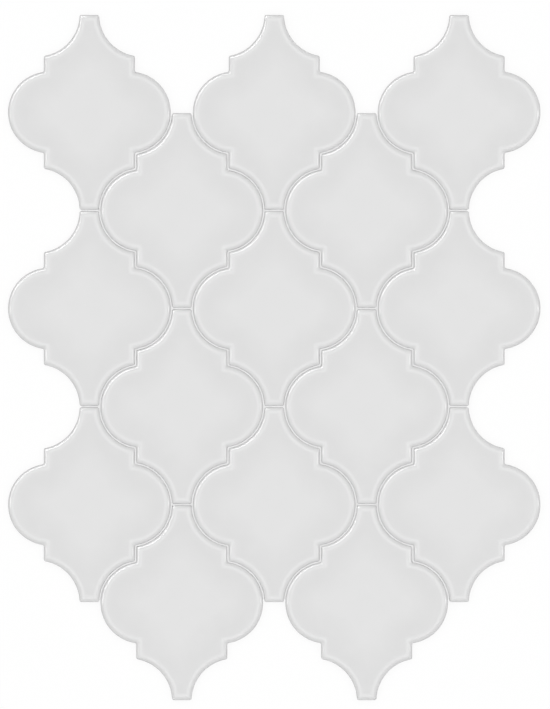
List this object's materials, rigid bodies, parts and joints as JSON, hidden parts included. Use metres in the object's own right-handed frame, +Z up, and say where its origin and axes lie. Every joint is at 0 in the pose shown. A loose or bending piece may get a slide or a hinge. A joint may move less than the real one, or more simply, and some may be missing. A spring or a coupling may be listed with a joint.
{
  "type": "arabesque mosaic tile sheet",
  "caption": "Sheet of interlocking arabesque lantern tiles in off-white glazed ceramic, with narrow open joints, held together by a glass-fibre net on the back, for covering walls.",
  "frame": {"origin": "middle of the underside of the backing net", "axes": "+Z up out of the glazed faces, +X across the columns of tiles, +Y along the tiles' points, towards the end where the outer and middle columns reach furthest"},
  "size_m": [0.25, 0.3218, 0.008],
  "materials": {
    "glazed_tile": "gloss",
    "glass_fibre_net": "matt"
  },
  "bodies": {
    "root": {"tile_col1_row1": "glazed_tile", "tile_col1_row2": "glazed_tile", "tile_col1_row3": "glazed_tile", "tile_col2_row1": "glazed_tile", "tile_col2_row2": "glazed_tile", "tile_col2_row3": "glazed_tile", "tile_col3_row1": "glazed_tile", "tile_col3_row2": "glazed_tile", "tile_col3_row3": "glazed_tile", "tile_col4_row1": "glazed_tile", "tile_col4_row2": "glazed_tile", "tile_col4_row3": "glazed_tile", "tile_col5_row1": "glazed_tile", "tile_col5_row2": "glazed_tile", "tile_col5_row3": "glazed_tile", "backing_mesh": "glass_fibre_net"}
  },
  "joints": []
}
